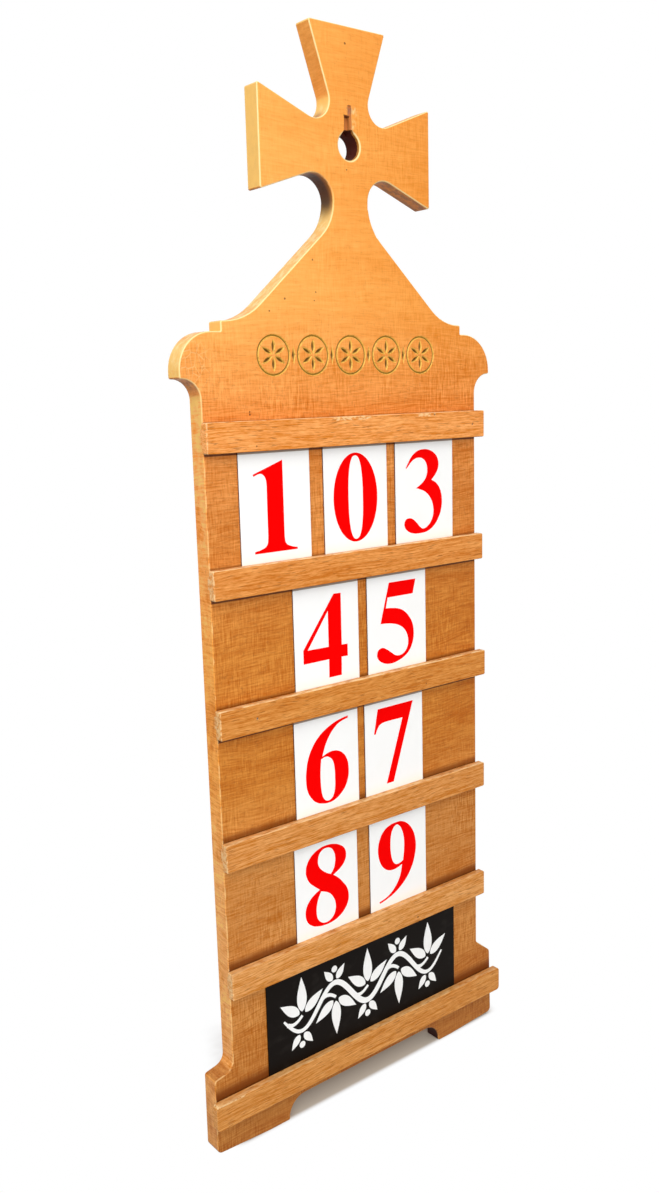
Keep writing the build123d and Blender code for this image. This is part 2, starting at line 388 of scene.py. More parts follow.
def dress(node_name, material):
    """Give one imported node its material."""
    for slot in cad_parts[node_name].material_slots:
        slot.material = material


# ---- wood ----
# Colours of the waxed wood, each at a height above the feet.
BOARD_COLOURS = (
    (24.0, (0.419, 0.139, 0.0202)),
    (99.0, (0.541, 0.194, 0.0334)),
    (224.0, (0.567, 0.216, 0.0452)),
    (324.0, (0.565, 0.187, 0.0212)),
    (439.0, (0.569, 0.183, 0.0205)),
    (559.0, (0.648, 0.213, 0.0372)),
    (636.0, (0.782, 0.259, 0.0463)),
    (714.0, (0.955, 0.379, 0.0739)),
    (904.0, (0.926, 0.353, 0.0611)),
)
RAIL_COLOURS = (
    (44.0, (0.627, 0.252, 0.0533)),
    (156.0, (0.688, 0.294, 0.0759)),
    (270.0, (0.656, 0.263, 0.0621)),
    (384.0, (0.624, 0.227, 0.0378)),
    (496.0, (0.693, 0.248, 0.0473)),
    (610.0, (0.831, 0.312, 0.0714)),
)
WOOD_SHINE = 0.2
WOOD_RELIEF = 0.2 * MM

# Dirt, a smear, painted shade and shadow, and bare wood.
GRIME = (0.17, 0.038, 0.003)
LIP_SHADOW = (0.055, 0.010, 0.003)
UNDERSIDE_SHADE = (0.30, 0.125, 0.060)
GILT_SHADE_AND_DIRT = (0.100, 0.034, 0.003)
BARE_WOOD = (0.50, 0.165, 0.045)
SLOT_STEP_SHADOW = (0.14, 0.035, 0.008)
SLOT_SMEAR = (0.34, 0.150, 0.090)
BORE_MOUTH = (0.42, 0.160, 0.018)
BORE_FLOOR_SHADE = (0.10, 0.050, 0.030)
HOLLOW_SHADE = (0.050, 0.014, 0.006)
THIN_HOLLOW_SHADE = (0.34, 0.120, 0.020)
ARCH_SHADE = (0.030, 0.004, 0.003)
PIT_DIRT = (0.07, 0.020, 0.006)
RAIL_UNDERSIDE_SHADE = (0.06, 0.014, 0.004)
MARK_DIRT = (0.06, 0.016, 0.004)

# Dents and old holes in the board's face: across, height above the feet, radius.
BOARD_PITS = (
    (-2.4, 913.7, 0.6),
    (-41.0, 746.7, 0.4),
    (-38.6, 721.5, 0.3),
    (-69.8, 715.6, 0.5),
    (-40.4, 715.0, 0.2),
    (-85.2, 705.9, 0.4),
    (-107.4, 626.5, 0.5),
    (-107.4, 628.5, 0.4),
    (-3.4, 818.5, 0.3),
)
# Small dark marks on the rails' faces, given the same way.
RAIL_MARKS = (
    (84.6, 620.0, 0.4),
    (57.2, 148.6, 0.6),
    (113.1, 58.0, 0.6),
    (-108.0, 602.0, 0.3),
    (24.0, 487.0, 0.3),
    (71.0, 376.0, 0.3),
)
# How far the grime that has settled on each rail reaches up the board, and how dark it is.
GRIME_BANDS = ((1.0, 0.25), (2.0, 0.45), (3.5, 0.55), (7.5, 0.75), (10.0, 0.90), (13.0, 0.95))
# How far the painted shadow line below each of the upper three rails reaches down.
LIP_LINES = (1.7, 2.8, 3.7)

# The origin is in the hanging hole, and the board's middle lies this far to the left of it.
HOLE_OFFSET = 3.4
# The cut ornament's band: its middle's height above the feet, and half its length and height.
BAND_HEIGHT = 672.0
BAND_HALF_LENGTH = 98.0
BAND_HALF_HEIGHT = 18.0
# The head's own wear starts at this height above the feet.
HEAD_START = 600.0
# Middles of the hollows painted with shade and of the crazed patch: across, depth and up.
ARM_HOLLOW = (-21.0, -8.0, -31.0)
TOP_NOOK = (-27.0, -6.0, 18.5)
CRAZED_SHOULDER = (-160.0, BOARD_FACE, 666.0 + FOOT)
# The right end of the arch between the feet: across and up, with its radius and softness.
ARCH_END = (87.0, 9.0 + FOOT)
ARCH_END_RADIUS = 18.0
ARCH_END_SOFTNESS = 8.0


def height_colours(shader, colours):
    """The wood's colour at a height above the feet."""
    stops = [(at / BOARD_HEIGHT, colour) for at, colour in colours]
    return shader.stops(shader.height * (1.0 / BOARD_HEIGHT), stops)


def spots(shader, face, places, softness):
    """1 in small round marks on a face, each given by where it is across and up, and its radius."""
    return largest([
        shader.near((x, face, height + FOOT), radius, softness) for x, height, radius in places
    ])


def lip_lines(shader):
    """1 in the narrow bands below the upper three rails, where their painted shadow lies."""
    return largest([
        shader.between(shader.up, foot - reach, foot + 2.0, 0.6)
        for foot, reach in zip(RAIL_FEET, LIP_LINES)
    ])


def below_face(shader, low, high):
    """0 to 1 as the board's surface goes from low to high behind its face."""
    return shader.ramp(shader.depth, BOARD_FACE + low, BOARD_FACE + high)


def near_face(shader, low, high):
    """1 to 0 as the board's surface goes from low to high behind its face."""
    return shader.ramp(shader.depth, BOARD_FACE + low, BOARD_FACE + high, 1.0, 0.0)


def arch_end(shader, depth):
    """1 round the right end of the arch between the feet, about a point at some depth."""
    return shader.near((ARCH_END[0], depth, ARCH_END[1]), ARCH_END_RADIUS, ARCH_END_SOFTNESS)


def board_figure(shader):
    """The board's grain round zero: level growth lines, a fine upright comb and broad clouds."""
    swayed = shader.lifted((shader.noise((170.0, 80.0, 60.0)) - 0.5) * 26.0)
    cloud = shader.noise((85.0, 50.0, 36.0), 3.0) - 0.5
    bands = shader.noise((300.0, 80.0, 9.0), 3.0, place=swayed) - 0.5
    lines = shader.noise((24.0, 16.0, 1.5), 3.0, 0.65, place=swayed) - 0.5
    comb = shader.noise((1.5, 9.0, 14.0), 2.0, 0.65) - 0.5
    patch = shader.ramp(shader.noise((45.0, 40.0, 55.0)), 0.38, 0.62, 0.35, 1.0)
    return cloud * 0.45 + bands * 0.40 + lines + comb * patch * 1.15


def board_colour(shader, figure, pores, settings):
    """The board's wood. Its left side is painted paler than its right, most of all on the head, as light
    falling from the left.
    """
    height = shader.height
    strength = shader.ramp(height, 590.0, 720.0, 1.8 * settings.figure, 0.60 * settings.figure)
    # Painted light: the colour grows paler towards the left, where the light comes from.
    painted_light_lean = shader.ramp(height, 590.0, 640.0, -0.0003, -0.0009)
    painted_light_lean = painted_light_lean - shader.ramp(height, 660.0, 760.0, 0.0, 0.0011)
    base = height_colours(shader, BOARD_COLOURS)
    coloured = shader.vary(base, figure * strength + shader.across * painted_light_lean)
    flecks = shader.ramp(shader.noise((1.1, 2.0, 4.5)), 0.60, 0.72)
    return shader.mix((pores * 0.16 + flecks * 0.18) * strength, coloured, settings.line_colour)


def board_sides(shader, wood, settings):
    """End grain is paler than the face and painted paler still as lit; upward slopes on the head have a
    painted highlight, and undersides painted shade.
    """
    chafe = shader.noise((7.0, 5.0, 7.0), 4.0, 0.6)
    # Paler end grain, and painted light as well, on the sides.
    paler_and_lit = shader.vector_math("MULTIPLY", wood, (1.65, 1.95, 2.8))
    paler_and_lit = shader.vector_math("MINIMUM", paler_and_lit, (1.0, 0.58, 0.150))
    paler_and_lit = shader.dim(paler_and_lit, 0.88 + chafe * 0.22)
    upright = shader.facing_sideways() * shader.facing(UP, -0.30, -0.08)
    sided = shader.mix(upright, wood, paler_and_lit)
    # Painted highlight on the head's slopes that face up and left.
    highlit_slope = shader.facing((-0.7, 0.0, 0.7), 0.70, 0.97)
    highlit_slope = highlit_slope * shader.ramp(shader.height, HEAD_START, HEAD_START + 80.0)
    highlit_sloped = shader.mix(highlit_slope * shader.ramp(chafe, 0.42, 0.62, 0.15, 0.75), sided, settings.worn_and_highlight_colour)
    # Painted shade on what faces down.
    under = shader.facing(DOWN, 0.25, 0.8)
    return shader.mix(under * shader.ramp(chafe, 0.40, 0.60, 0.15, 0.70), highlit_sloped, UNDERSIDE_SHADE)


def board_grime(shader, wood):
    """Grime lies on the face above each rail, and a thin painted shadow below the upper three."""
    on_face = near_face(shader, 0.1, 0.5)
    settled = [
        shader.ramp(shader.up, top + reach * 0.2, top + reach, dark, 0.0)
        * shader.ramp(shader.up, top - 3.0, top - 2.0)
        for top, (reach, dark) in zip(RAIL_TOPS, GRIME_BANDS)
    ]
    grimed = shader.mix(largest(settled) * on_face, wood, GRIME)
    # Painted shadow under the lips of the upper three rails.
    return shader.mix(lip_lines(shader) * on_face * 0.85, grimed, LIP_SHADOW)


def board_arrises(shader, wood, hollow, settings):
    """The arrises are rubbed pale, a millimetre wide: nearly whole on the head, faint below.

    In the hollow under the left arm and at the end of the arch, where shade is painted, they are mostly
    spared.
    """
    arris = below_face(shader, 0.01, 0.15) * near_face(shader, 0.9, 1.25)
    break_up = shader.noise((4.0, 4.0, 11.0), 3.0)
    kept = shader.ramp(shader.height, HEAD_START, HEAD_START + 60.0, 0.46, 0.20)
    paleness = shader.ramp(shader.height, HEAD_START, HEAD_START + 90.0, 0.35, 0.95)
    rubbed = shader.ramp(break_up - kept, 0.0, 0.10) * paleness
    spared = 1.0 - hollow.over(arch_end(shader, BOARD_FACE)) * 0.8
    return shader.mix(arris * rubbed * spared, wood, settings.worn_and_highlight_colour)


def crazing(shader):
    """1 in the cracks of the varnish on the left shoulder."""
    cell = shader.vector_math("DIVIDE", shader.place, (5.0, 8.0, 9.0))
    crack = shader.node("TexVoronoi", {"feature": "DISTANCE_TO_EDGE"}, {"Vector": cell, "Scale": 1.0})
    return shader.ramp(crack, 0.01, 0.06, 1.0, 0.0) * shader.near(CRAZED_SHOULDER, 2.0, 30.0)


def ornament_cuts(shader, off_back):
    """1 in whatever is cut below the face inside the ornament's band."""
    from_middle = shader.math("ABSOLUTE", shader.across + HOLE_OFFSET)
    from_band = shader.math("ABSOLUTE", shader.height - BAND_HEIGHT)
    in_length = shader.ramp(from_middle, BAND_HALF_LENGTH, BAND_HALF_LENGTH + 1.0, 1.0, 0.0)
    in_band = in_length * shader.ramp(from_band, BAND_HALF_HEIGHT, BAND_HALF_HEIGHT + 1.0, 1.0, 0.0)
    return below_face(shader, 0.03, 0.15) * in_band * off_back


def gilded(shader, wood, cuts, settings):
    """The ornament's cuts are gilded, with painted shade deeper in the cuts and dirt where the gilding is
    lost.
    """
    lost = shader.ramp(shader.noise((2.0, 2.0, 2.0)), 0.36, 0.50, 1.0, 0.0)
    # Painted shade from 0.3 mm below the face, and dirt where the gilding is lost.
    dark = below_face(shader, 0.3, 1.3).over(lost * 0.5)
    return shader.mix(cuts, wood, shader.mix(dark * 0.9, settings.gilt_colour, GILT_SHADE_AND_DIRT))


def slot_wood(shader, wood, rough, off_back, settings):
    """The slot above the hole is bare brown wood with a painted shadow along its step, smeared and bruised
    beside it.
    """
    across, up = shader.across, shader.up
    slot = shader.between(across, -7.0, 3.5, 0.4) * shader.between(up, 8.0, 32.5, 0.5)
    bared = shader.mix(slot * below_face(shader, 0.05, 0.4) * off_back * 0.85, wood, BARE_WOOD)
    # Painted shadow along the slot's step.
    step = shader.between(across, -5.2, 1.4, 0.5) * shader.between(up, 22.4, 23.1, 0.5)
    stepped = shader.mix(step * off_back * 0.8, bared, SLOT_STEP_SHADOW)
    smear = shader.near((0.8, 0.0, 27.5), 1.2, 3.4, shader.flat_place) * shader.ramp(rough, 0.40, 0.55)
    smeared = shader.mix(smear * off_back * 0.75, stepped, SLOT_SMEAR)
    low_bruise = shader.near((3.4, 0.0, 17.0), 1.5, 4.0, shader.flat_place)
    bruise = low_bruise.over(shader.near((5.6, 0.0, 26.5), 1.0, 4.0, shader.flat_place))
    bruise = bruise * near_face(shader, 0.1, 0.4) * shader.ramp(rough, 0.42, 0.60)
    return shader.mix(bruise * 0.6, smeared, settings.worn_and_highlight_colour)


def bore_wood(shader, wood, rough, off_back, settings):
    """The bore is painted nearly black as shade behind an amber mouth with a rubbed rim.

    Gives the wood, and 1 where it is black.
    """
    around = shader.near((0.0, 0.0, 0.0), 14.0, 1.0, shader.flat_place)
    inside = around * shader.between(shader.up, -14.0, 12.6, 0.5) * off_back
    rim = around * below_face(shader, 0.03, 0.3) * near_face(shader, 0.5, 0.9)
    rim = rim * shader.ramp(shader.across, 0.0, 8.0, 0.15, 0.6)
    rimmed = shader.mix(rim, wood, settings.worn_and_highlight_colour)
    mouthed = shader.mix(inside * below_face(shader, 0.7, 1.1) * 0.9, rimmed, BORE_MOUTH)
    # Painted shade inside the bore, a little lighter on its floor.
    uneven = shader.depth + (rough - 0.5) * 3.0
    black = inside * shader.ramp(uneven, BOARD_FACE + 2.1, BOARD_FACE + 3.8)
    bore_shade = shader.mix(shader.ramp(shader.up, -12.0, -6.0), BORE_FLOOR_SHADE, settings.bore_shade_colour)
    return shader.mix(black, mouthed, bore_shade), black


def shaded_hollows(shader, wood, hollow, off_back):
    """Painted shade lies in the hollows under the left arm and beside the top arm, and inside the arch.

    In the hollows saw marks show through it, and it thins to amber towards the face.
    """
    behind = below_face(shader, 0.6, 2.5) * off_back
    saw_marks = shader.noise((16.0, 1.1, 16.0))
    uneven = shader.depth + (saw_marks - 0.5) * 3.0
    thin = shader.ramp(uneven, BOARD_FACE + 1.5, BOARD_FACE + 7.0, 1.0, 0.0)
    # Painted shade in the hollows, thinning to amber towards the face.
    streaked = shader.dim(shader.mix(thin, HOLLOW_SHADE, THIN_HOLLOW_SHADE), 0.75 + saw_marks * 0.5)
    nook = shader.near(TOP_NOOK, 3.0, 9.0) * 0.55
    browned = shader.mix(hollow.over(nook) * behind * 0.95, wood, streaked)
    # Painted shade inside the arch's right end.
    return shader.mix(arch_end(shader, BOARD_FACE + 8.0) * behind, browned, ARCH_SHADE)


def board_wood(settings):
    """Waxed board: figured wood under wear, grime, old gilding and dents, with painted light and shade."""
    shader = Shader("board_wood")
    figure = board_figure(shader)
    pores = shader.ramp(shader.noise((7.0, 2.0, 1.0)), 0.56, 0.70)
    rough = shader.noise((1.6, 2.0, 2.4), 3.0)
    hollow = shader.near(ARM_HOLLOW, 13.0, 17.0)
    cracks = crazing(shader)
    pits = spots(shader, BOARD_FACE, BOARD_PITS, 0.6)
    # What lies in the cuts and hollows doesn't reach round to the board's back.
    off_back = shader.facing(FRONT, -0.8, -0.4)
    cuts = ornament_cuts(shader, off_back)

    wood = board_colour(shader, figure, pores, settings)
    wood = board_sides(shader, wood, settings)
    wood = board_grime(shader, wood)
    wood = board_arrises(shader, wood, hollow, settings)
    wood = shader.mix(cracks * 0.35, wood, settings.worn_and_highlight_colour)
    wood = gilded(shader, wood, cuts, settings)
    wood = slot_wood(shader, wood, rough, off_back, settings)
    wood, black = bore_wood(shader, wood, rough, off_back, settings)
    wood = shaded_hollows(shader, wood, hollow, off_back)
    wood = shader.mix(pits * 0.75, wood, PIT_DIRT)

    relief = figure * 0.2 - pores * 0.25 - pits * 2.0 - cracks * 0.5
    return shader.finish({
        "Base Color": wood,
        "Roughness": settings.roughness + figure * 0.25 + pores * 0.15 + black * 0.3,
        "Metallic": cuts * 0.1,
        "Specular IOR Level": WOOD_SHINE,
        "Normal": shader.bump(relief, WOOD_RELIEF, 0.8),
    })


def rail_grain(shader):
    """A rail's grain round zero, and 1 in its open pores. Both are drawn out along the rail."""
    swayed = shader.lifted((shader.noise((90.0, 30.0, 30.0)) - 0.5) * 9.0)
    broad = shader.noise((110.0, 16.0, 4.5), 3.0, place=swayed) - 0.5
    lines = shader.ramp(shader.noise((34.0, 6.0, 1.2), 3.0, 0.7, place=swayed), 0.36, 0.64) - 0.5
    hair = shader.noise((7.0, 3.0, 1.0), 2.0, 0.65, place=swayed) - 0.5
    pores = shader.ramp(shader.noise((12.0, 2.0, 0.8), place=swayed), 0.60, 0.69)
    return broad * 0.5 + lines * 0.40 + hair, pores


def rail_faces(shader, wood, settings):
    """Paler ends, partly painted light; undersides in painted shade; upper faces rubbed pale with a painted
    highlight, most of all on the upper rails.
    """
    # Paler end grain, and painted light as well, on the ends.
    paler_and_lit = shader.vector_math("MULTIPLY", wood, (1.2, 1.35, 1.7))
    sided = shader.mix(shader.facing_sideways(), wood, paler_and_lit)
    break_up = shader.noise((9.0, 3.0, 3.0), 3.0)
    # Wear and a painted highlight on the faces that look up.
    above = shader.facing(UP, 0.3, 0.8) * shader.ramp(shader.height, 170.0, 380.0, 0.35, 0.9)
    above = above * shader.ramp(shader.depth, RAIL_FRONT + 2.0, RAIL_FRONT + 4.5, 1.0, 0.4)
    worn_and_lit_tops = shader.mix(above * shader.ramp(break_up, 0.30, 0.60), sided, settings.worn_and_highlight_colour)
    # Painted shade on what faces down.
    return shader.mix(shader.facing(DOWN, 0.3, 0.8) * 0.85, worn_and_lit_tops, RAIL_UNDERSIDE_SHADE)


def rail_knocks(shader, nicks):
    """1 where a rail's arris is knocked.

    The knocks lie at the upper left corners of the rails that the number cards stand in, in two
    stretches along the top rail's upper arris, and at the left end of the foot rail's.
    """
    corners = [(RAIL_LEFT_END + 1.4, RAIL_FRONT + 0.5, top - 1.0) for top in CARD_RAIL_TOPS]
    knocks = [shader.near(corner, 0.4, 1.4) for corner in corners]
    rim = shader.between(shader.up, RAIL_TOPS[TOP_RAIL] - 2.6, RAIL_TOPS[TOP_RAIL] + 1.0, 1.0)
    knocks.append(rim * shader.between(shader.across, -27.0, 8.0, 4.0))
    knocks.append(rim * shader.between(shader.across, 67.0, 84.0, 3.0))
    flake = shader.ramp(shader.noise((3.5, 2.0, 1.8), 3.0), 0.46, 0.56)
    foot_top = RAIL_TOPS[FOOT_RAIL]
    foot_arris = shader.between(shader.up, foot_top - 1.3, foot_top - 0.5, 0.4)
    foot_arris = foot_arris * shader.between(shader.across, -175.0, -147.0, 3.0)
    return (largest(knocks) * flake).over(foot_arris * shader.ramp(nicks, 0.34, 0.50))


def rail_wood(settings):
    """Waxed rail: open pores and streaks along X, worn upper faces with a painted highlight, painted light
    and shade, and chipped corners.
    """
    shader = Shader("rail_wood")
    figure, pores = rail_grain(shader)
    nicks = shader.noise((2.0, 2.0, 3.0), 3.0)
    knocked = rail_knocks(shader, nicks)
    marks = spots(shader, RAIL_FRONT, RAIL_MARKS, 0.7)

    base = height_colours(shader, RAIL_COLOURS)
    coloured = shader.vary(base, figure * 1.25 * settings.figure)
    lined = shader.mix(pores * 0.6 * settings.figure, coloured, settings.line_colour)
    wood = rail_faces(shader, lined, settings)
    # The arrises of the left ends are rubbed pale, except on the foot rail.
    left_arris = shader.between(shader.across, RAIL_LEFT_END + 0.4, RAIL_LEFT_END + 1.1, 0.4)
    left_arris = left_arris * shader.ramp(nicks, 0.40, 0.62) * shader.ramp(shader.height, 100.0, 110.0)
    wood = shader.mix(left_arris.over(knocked) * 0.6, wood, settings.worn_and_highlight_colour)
    wood = shader.mix(marks * 0.7, wood, MARK_DIRT)

    relief = figure * 0.35 - pores * 0.4 - knocked * 1.2 - marks
    return shader.finish({
        "Base Color": wood,
        "Roughness": settings.roughness + figure * 0.25 + pores * 0.15,
        "Specular IOR Level": WOOD_SHINE,
        "Normal": shader.bump(relief, WOOD_RELIEF, 0.9),
    })


class HYMN_OT_board_wood(bpy.types.Operator):
    """Finish the board in waxed wood"""

    bl_idname = "hymn.board_wood"
    bl_label = "Board wood"

    def execute(self, context):
        dress("backboard", board_wood(context.scene.hymn_board_wood))
        return {"FINISHED"}


class HYMN_OT_rail_wood(bpy.types.Operator):
    """Finish the six rails in waxed wood"""

    bl_idname = "hymn.rail_wood"
    bl_label = "Rail wood"

    def execute(self, context):
        material = rail_wood(context.scene.hymn_rail_wood)
        for rail in RAILS:
            dress(rail, material)
        return {"FINISHED"}


# ---- pins ----
STEEL = (0.30, 0.29, 0.28)
RUST = (0.16, 0.07, 0.03)


def pin_steel():
    """Dulled steel with spots of rust."""
    shader = Shader("pin_steel")
    rust = shader.ramp(shader.noise((0.9, 0.9, 0.9), 3.0), 0.45, 0.65)
    brushed = shader.noise((0.2, 2.0, 0.2))
    return shader.finish({
        "Base Color": shader.mix(rust, STEEL, RUST),
        "Metallic": 1.0 - rust * 0.8,
        "Roughness": 0.35 + brushed * 0.25 + rust * 0.3,
        "Normal": shader.bump(brushed + rust, 0.02 * MM),
    })


class HYMN_OT_pins(bpy.types.Operator):
    """Finish the panel pins in dulled steel"""

    bl_idname = "hymn.pins"
    bl_label = "Panel pins"

    def execute(self, context):
        material = pin_steel()
        for group in PIN_GROUPS:
            dress(group, material)
        return {"FINISHED"}


# ---- cards ----
GRUBBY = (0.88, 0.86, 0.78)
YELLOWED = (0.95, 0.91, 0.82)
CARD_LIP_SHADOW = (0.17, 0.085, 0.020)
DUST = (0.10, 0.09, 0.08)
CARD_SHINE = 0.2
TITLE_SHINE = 0.05
COATING_SHINE = 0.03
CARD_RELIEF = 0.01 * MM


def card_stock(settings):
    """White-faced board: a faint tooth, a little grubby, and brown along its cut edges."""
    shader = Shader("card_stock")
    tooth = shader.noise((0.6, 0.6, 0.6), 3.0)
    smudge = shader.noise((26.0, 10.0, 30.0), 3.0)
    face = shader.mix(shader.ramp(smudge, 0.52, 0.75) * 0.12, settings.stock_colour, GRUBBY)
    # The cards have yellowed a little at their feet.
    yellowed = largest([shader.between(shader.up, top - 6.0, top + 1.0, 10.0) for top in CARD_RAIL_TOPS])
    aged = shader.mix(yellowed * 0.5, face, YELLOWED)
    # A thin shadow from the lips of the upper three rails is painted across the cards below them.
    rubbed = shader.mix(lip_lines(shader) * 0.8, aged, CARD_LIP_SHADOW)
    edge = shader.ramp(shader.depth, CARD_FACE + 0.05, CARD_FACE + 0.12)
    edge = edge * shader.ramp(shader.depth, CARD_BACK - 0.10, CARD_BACK - 0.05, 1.0, 0.0)
    fibre = shader.dim(settings.core_colour, 0.8 + shader.noise((2.0, 0.3, 2.0)) * 0.5)
    return shader.finish({
        "Base Color": shader.mix(edge, rubbed, fibre),
        "Roughness": 0.40 + smudge * 0.12,
        "Specular IOR Level": CARD_SHINE,
        "Normal": shader.bump(tooth, CARD_RELIEF, 0.5),
    })


def title_stock(settings):
    """Black card with a soft sheen and a little dust."""
    shader = Shader("title_stock")
    dust = shader.ramp(shader.noise((18.0, 6.0, 12.0), 4.0), 0.50, 0.80)
    tooth = shader.noise((0.5, 0.5, 0.5), 3.0)
    return shader.finish({
        "Base Color": shader.mix(dust * 0.10, settings.title_colour, DUST),
        "Roughness": 0.45 + dust * 0.15,
        "Specular IOR Level": TITLE_SHINE,
        "Normal": shader.bump(tooth, CARD_RELIEF, 0.6),
    })


def coating(name, colour, mottle, roughness):
    """Ink or paint: one colour with a slight unevenness."""
    shader = Shader(name)
    cover = shader.noise((3.0, 3.0, 5.0), 3.0)
    streak = shader.noise((0.5, 1.0, 4.0))
    return shader.finish({
        "Base Color": shader.dim(colour, 1.0 + (cover - 0.5) * mottle),
        "Roughness": roughness + (streak - 0.5) * 0.15,
        "Specular IOR Level": COATING_SHINE,
        "Normal": shader.bump(streak, CARD_RELIEF, 0.6),
    })


class HYMN_OT_cards(bpy.types.Operator):
    """Finish the number cards in white and the title card in black"""

    bl_idname = "hymn.cards"
    bl_label = "Cards"

    def execute(self, context):
        settings = context.scene.hymn_cards
        white = card_stock(settings)
        for card in NUMBER_CARDS:
            dress(card, white)
        dress("title_card", title_stock(settings))
        return {"FINISHED"}


# ---- flat shapes laid on the cards ----
SHARP = True
ROUNDNESS = 1.17
# Corners of a filled shape that are closer than this are one corner.
SAME_CORNER = 0.002 * MM


def smooth_outline(points, steps):
    """A closed line through points, each (x, y) or, at a corner, (x, y, SHARP).

    Between two points runs a cubic Hermite curve. At a smooth point its tangent is parallel to
    the line joining the neighbours, and ROUNDNESS times as long as the chord, which draws four
    points as a circle. At a corner it is the chord itself.
    """
    places = np.array([point[:2] for point in points], float)
    sharp = np.array([len(point) > 2 for point in points])[:, None]
    after = np.roll(places, -1, axis=0)
    chord = after - places
    length = np.linalg.norm(chord, axis=1, keepdims=True)
    through = after - np.roll(places, 1, axis=0)
    through = through / np.linalg.norm(through, axis=1, keepdims=True)
    through_after = np.roll(through, -1, axis=0)
    sharp_after = np.roll(sharp, -1, axis=0)
    start = np.where(sharp, chord, through * length * ROUNDNESS)[:, None]
    end = np.where(sharp_after, chord, through_after * length * ROUNDNESS)[:, None]
    t = np.arange(steps)[None, :, None] / steps
    curve = (
        (2 * t**3 - 3 * t**2 + 1) * places[:, None]
        + (t**3 - 2 * t**2 + t) * start
        + (3 * t**2 - 2 * t**3) * after[:, None]
        + (t**3 - t**2) * end
    )
    return curve.reshape(-1, 2)


def oval_outline(centre, half_width, half_height, squareness, steps):
    """A closed superellipse: |x/a|^n + |y/b|^n = 1, with n the squareness."""
    angle = np.linspace(0.0, 2 * math.pi, 8 * steps, endpoint=False)
    cosine, sine = np.cos(angle), np.sin(angle)
    x = centre[0] + half_width * np.sign(cosine) * np.abs(cosine) ** (2 / squareness)
    y = centre[1] + half_height * np.sign(sine) * np.abs(sine) ** (2 / squareness)
    return np.stack([x, y], axis=1)


def filled_mesh(name, outlines, thickness):
    """A flat filled shape as a mesh, half its thickness each side of z = 0.

    The outlines are in millimetres, and one inside another is a hole.
    """
    curve = bpy.data.curves.new(name, "CURVE")
    curve.dimensions = "2D"
    curve.fill_mode = "BOTH"
    curve.extrude = thickness / 2
    for outline in outlines:
        spline = curve.splines.new("POLY")
        spline.points.add(len(outline) - 1)
        corners = np.zeros((len(outline), 4))
        corners[:, :2] = outline * MM
        corners[:, 3] = 1.0
        spline.points.foreach_set("co", corners.ravel())
        spline.use_cyclic_u = True
    flat = bpy.data.objects.new(name + "_flat", curve)
    bpy.context.collection.objects.link(flat)
    bpy.context.view_layer.update()
    mesh = bpy.data.meshes.new_from_object(flat.evaluated_get(bpy.context.evaluated_depsgraph_get()))
    bpy.data.objects.remove(flat)
    mesh.name = name
    return mesh


def film(name, outlines, origin, thickness, material, body):
    """Lay a thin flat shape on a card's face, riding on the card's body.

    Its outlines run x across and y up from origin. The filled shape is stood up against the
    face, and its walls are joined to its faces.
    """
    mesh = filled_mesh(name, outlines, thickness)
    standing = Matrix.Rotation(math.radians(90), 4, "X")
    mesh.transform(Matrix.Translation((origin[0], origin[1] - thickness / 2, origin[2])) @ standing)
    shape = bmesh.new()
    shape.from_mesh(mesh)
    bmesh.ops.remove_doubles(shape, verts=shape.verts, dist=SAME_CORNER)
    bmesh.ops.recalc_face_normals(shape, faces=shape.faces)
    shape.to_mesh(mesh)
    shape.free()

    piece = bpy.data.objects.new(name, mesh)
    bpy.context.collection.objects.link(piece)
    mesh.materials.clear()
    mesh.materials.append(material)
    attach(piece, body)


def card_origin(card):
    """The middle of a card's foot, on its front face."""
    low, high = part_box(card)
    return ((low[X] + high[X]) / 2, low[Y], low[Z])


